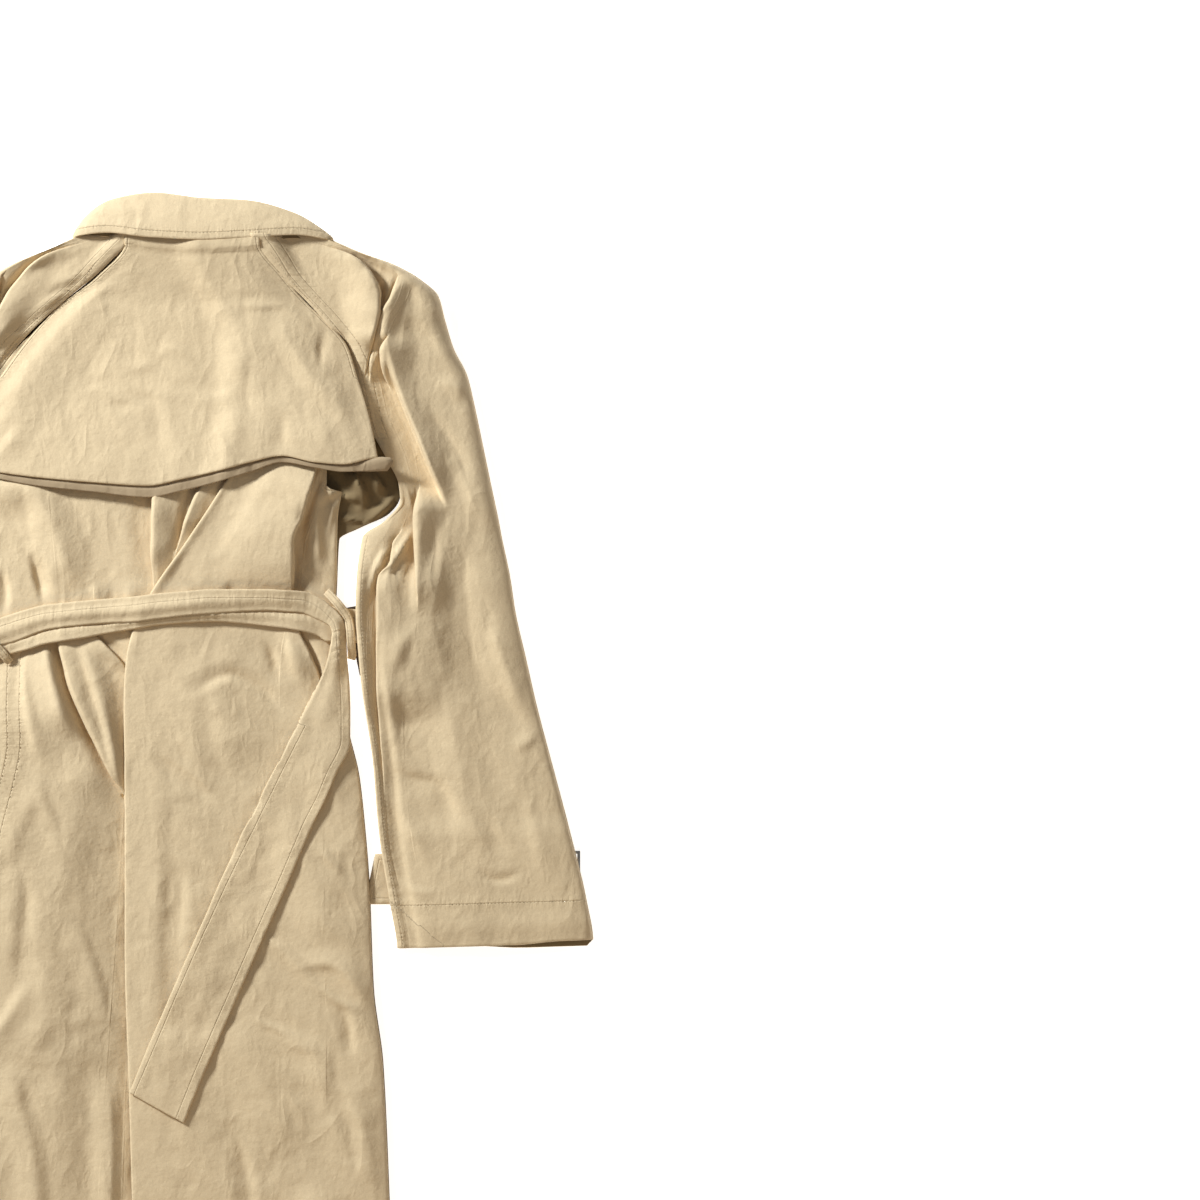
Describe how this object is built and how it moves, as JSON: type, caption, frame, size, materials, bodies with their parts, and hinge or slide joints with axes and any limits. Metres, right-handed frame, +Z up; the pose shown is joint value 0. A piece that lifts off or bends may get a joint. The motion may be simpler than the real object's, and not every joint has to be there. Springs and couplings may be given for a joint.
{
  "type": "trench coat laid face down",
  "caption": "Belted raglan trench coat laid face down: open-hemmed storm shield, pleated back with vent, sleeves spread, belt gathered over the back with its end hanging.",
  "frame": {"origin": "on the surface the coat lies on, under the middle of its box", "axes": "+Z up off the surface, through the back of the coat; +Y from the hem to the collar; +X to the wearer's right, which is the picture's right"},
  "size_m": [0.833, 1.17, 0.0337],
  "materials": {
    "cloth": "closely woven beige cotton gabardine, matt with a faint sheen",
    "facing": "wrong side of the same cloth, duller and browner",
    "button": "dark horn, polished",
    "metal": "satin nickel"
  },
  "bodies": {
    "root": {"front_left": "cloth", "front_right": "cloth", "back_left": "cloth", "back_right": "cloth", "storm_shield": "cloth", "shield_facing": "facing", "sleeve_right": "cloth", "sleeve_left": "cloth", "cuff_strap_right": "cloth", "cuff_strap_left": "cloth", "cuff_buckle_right": "metal", "cuff_buckle_left": "metal", "collar_stand": "cloth", "collar_leaf": "cloth", "belt": "cloth", "belt_buckle": "button", "belt_loop_right": "cloth", "belt_loop_left": "cloth", "button_1": "button", "button_2": "button", "button_3": "button", "button_4": "button", "button_5": "button"}
  },
  "joints": []
}
